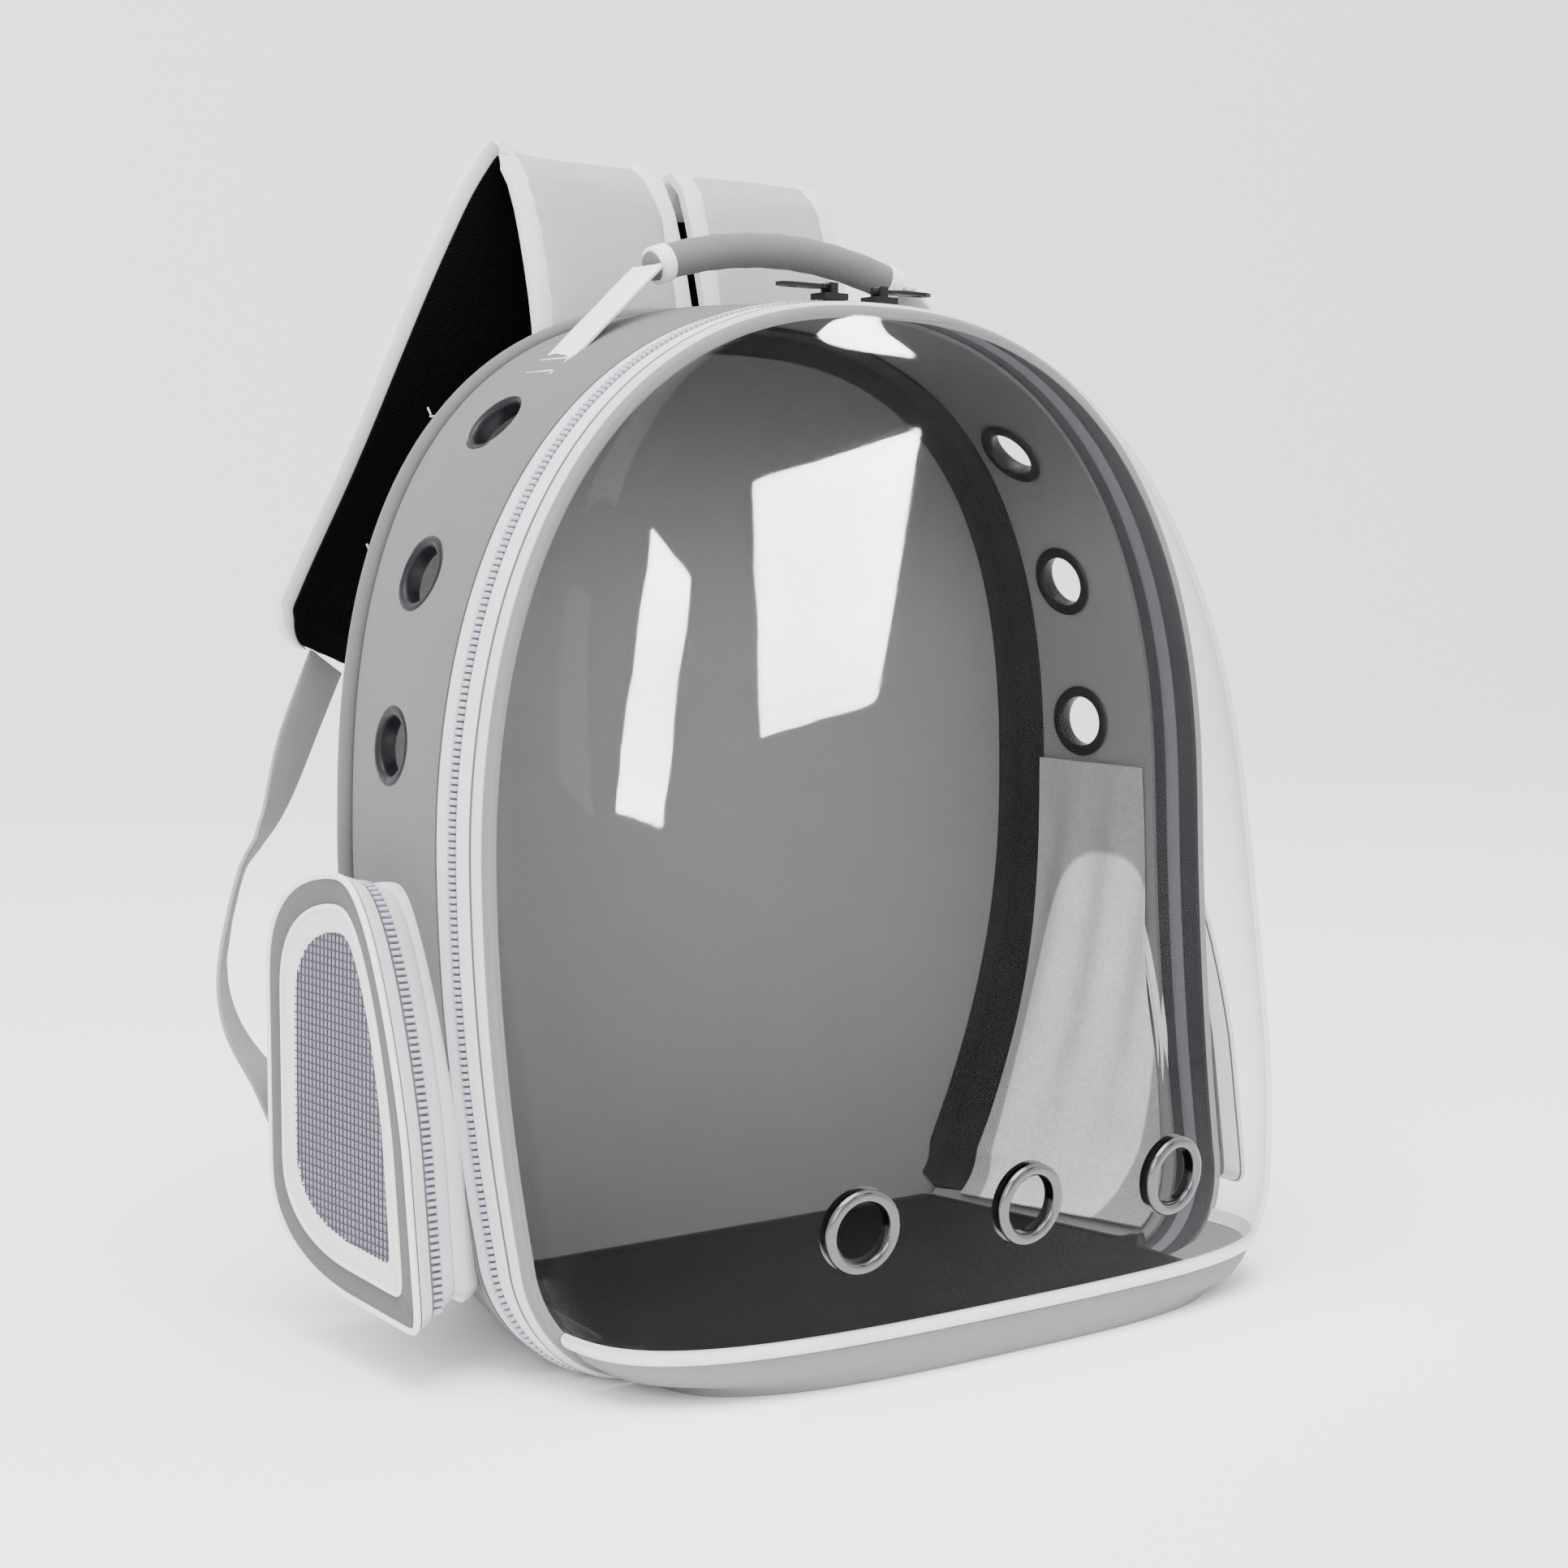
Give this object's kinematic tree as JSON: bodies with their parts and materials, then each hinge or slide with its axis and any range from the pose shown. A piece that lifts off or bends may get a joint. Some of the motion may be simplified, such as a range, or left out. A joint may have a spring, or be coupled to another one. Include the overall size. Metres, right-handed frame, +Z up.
{
  "type": "bubble pet carrier backpack",
  "caption": "Soft backpack for carrying a small pet, with a clear bulging front door, eyelet vents, net side pockets, a carry handle and two padded shoulder straps.",
  "frame": {"origin": "middle of the resting base, under the seam between the side wall and the main zip", "axes": "+Z up, -Y towards the clear front, +X to the right as seen from the front"},
  "size_m": [0.4071, 0.271, 0.4465],
  "materials": {
    "grey_cloth": "matt woven",
    "back_cloth": "matt woven",
    "mat": "matt felted",
    "dark_trim": "matt",
    "liner": "fine mesh",
    "zip_teeth": "satin",
    "white_tape": "matt woven",
    "clear_plastic": "clear gloss",
    "pale_edge": "satin",
    "chrome": "polished",
    "plum_metal": "satin",
    "net": "open mesh",
    "grip": "matt",
    "lining": "matt mesh",
    "webbing": "ribbed",
    "strap": "matt woven"
  },
  "bodies": {
    "carrier": {"side_wall": "grey_cloth", "back_panel": "back_cloth", "back_binding": "dark_trim", "base_panel": "grey_cloth", "floor_mat": "mat", "window_liner_left": "liner", "window_liner_right": "liner", "bubble": "clear_plastic", "bubble_eyelet_1": "chrome", "bubble_eyelet_2": "chrome", "bubble_eyelet_3": "chrome", "door_binding": "pale_edge", "door_sill": "white_tape", "front_strip": "back_cloth", "handle_grip": "grip", "handle_webbing_left": "webbing", "handle_webbing_right": "webbing", "pocket_left_band": "white_tape", "pocket_left_border": "pale_edge", "pocket_left_frame": "grey_cloth", "pocket_left_net": "net", "pocket_left_zip_tape_inner": "white_tape", "pocket_left_zip_tape_outer": "white_tape", "pocket_left_zip_teeth": "zip_teeth", "pocket_right_band": "white_tape", "pocket_right_border": "pale_edge", "pocket_right_frame": "grey_cloth", "pocket_right_net": "net", "pocket_right_zip_tape_inner": "white_tape", "pocket_right_zip_tape_outer": "white_tape", "pocket_right_zip_teeth": "zip_teeth", "side_eyelet_left_1": "plum_metal", "side_eyelet_left_2": "plum_metal", "side_eyelet_left_3": "plum_metal", "side_eyelet_right_1": "plum_metal", "side_eyelet_right_2": "plum_metal", "side_eyelet_right_3": "plum_metal", "strap_left": "strap", "strap_left_lining": "lining", "strap_left_webbing": "webbing", "strap_right": "strap", "strap_right_lining": "lining", "strap_right_webbing": "webbing", "zip_slider_left": "plum_metal", "zip_slider_right": "plum_metal", "zip_tape_body": "white_tape", "zip_tape_door": "white_tape", "zip_teeth": "zip_teeth"},
    "pull_left": {"zip_pull_left": "plum_metal"},
    "pull_right": {"zip_pull_right": "plum_metal"}
  },
  "joints": [
    {"name": "pull_left_hinge", "type": "hinge", "parent": "carrier", "child": "pull_left", "pos_m": [-0.012, -0.011, 0.3827], "axis": [0, 1, 0], "range_deg": [0, 110]},
    {"name": "pull_right_hinge", "type": "hinge", "parent": "carrier", "child": "pull_right", "pos_m": [0.012, -0.011, 0.3827], "axis": [0, -1, 0], "range_deg": [0, 110]}
  ]
}
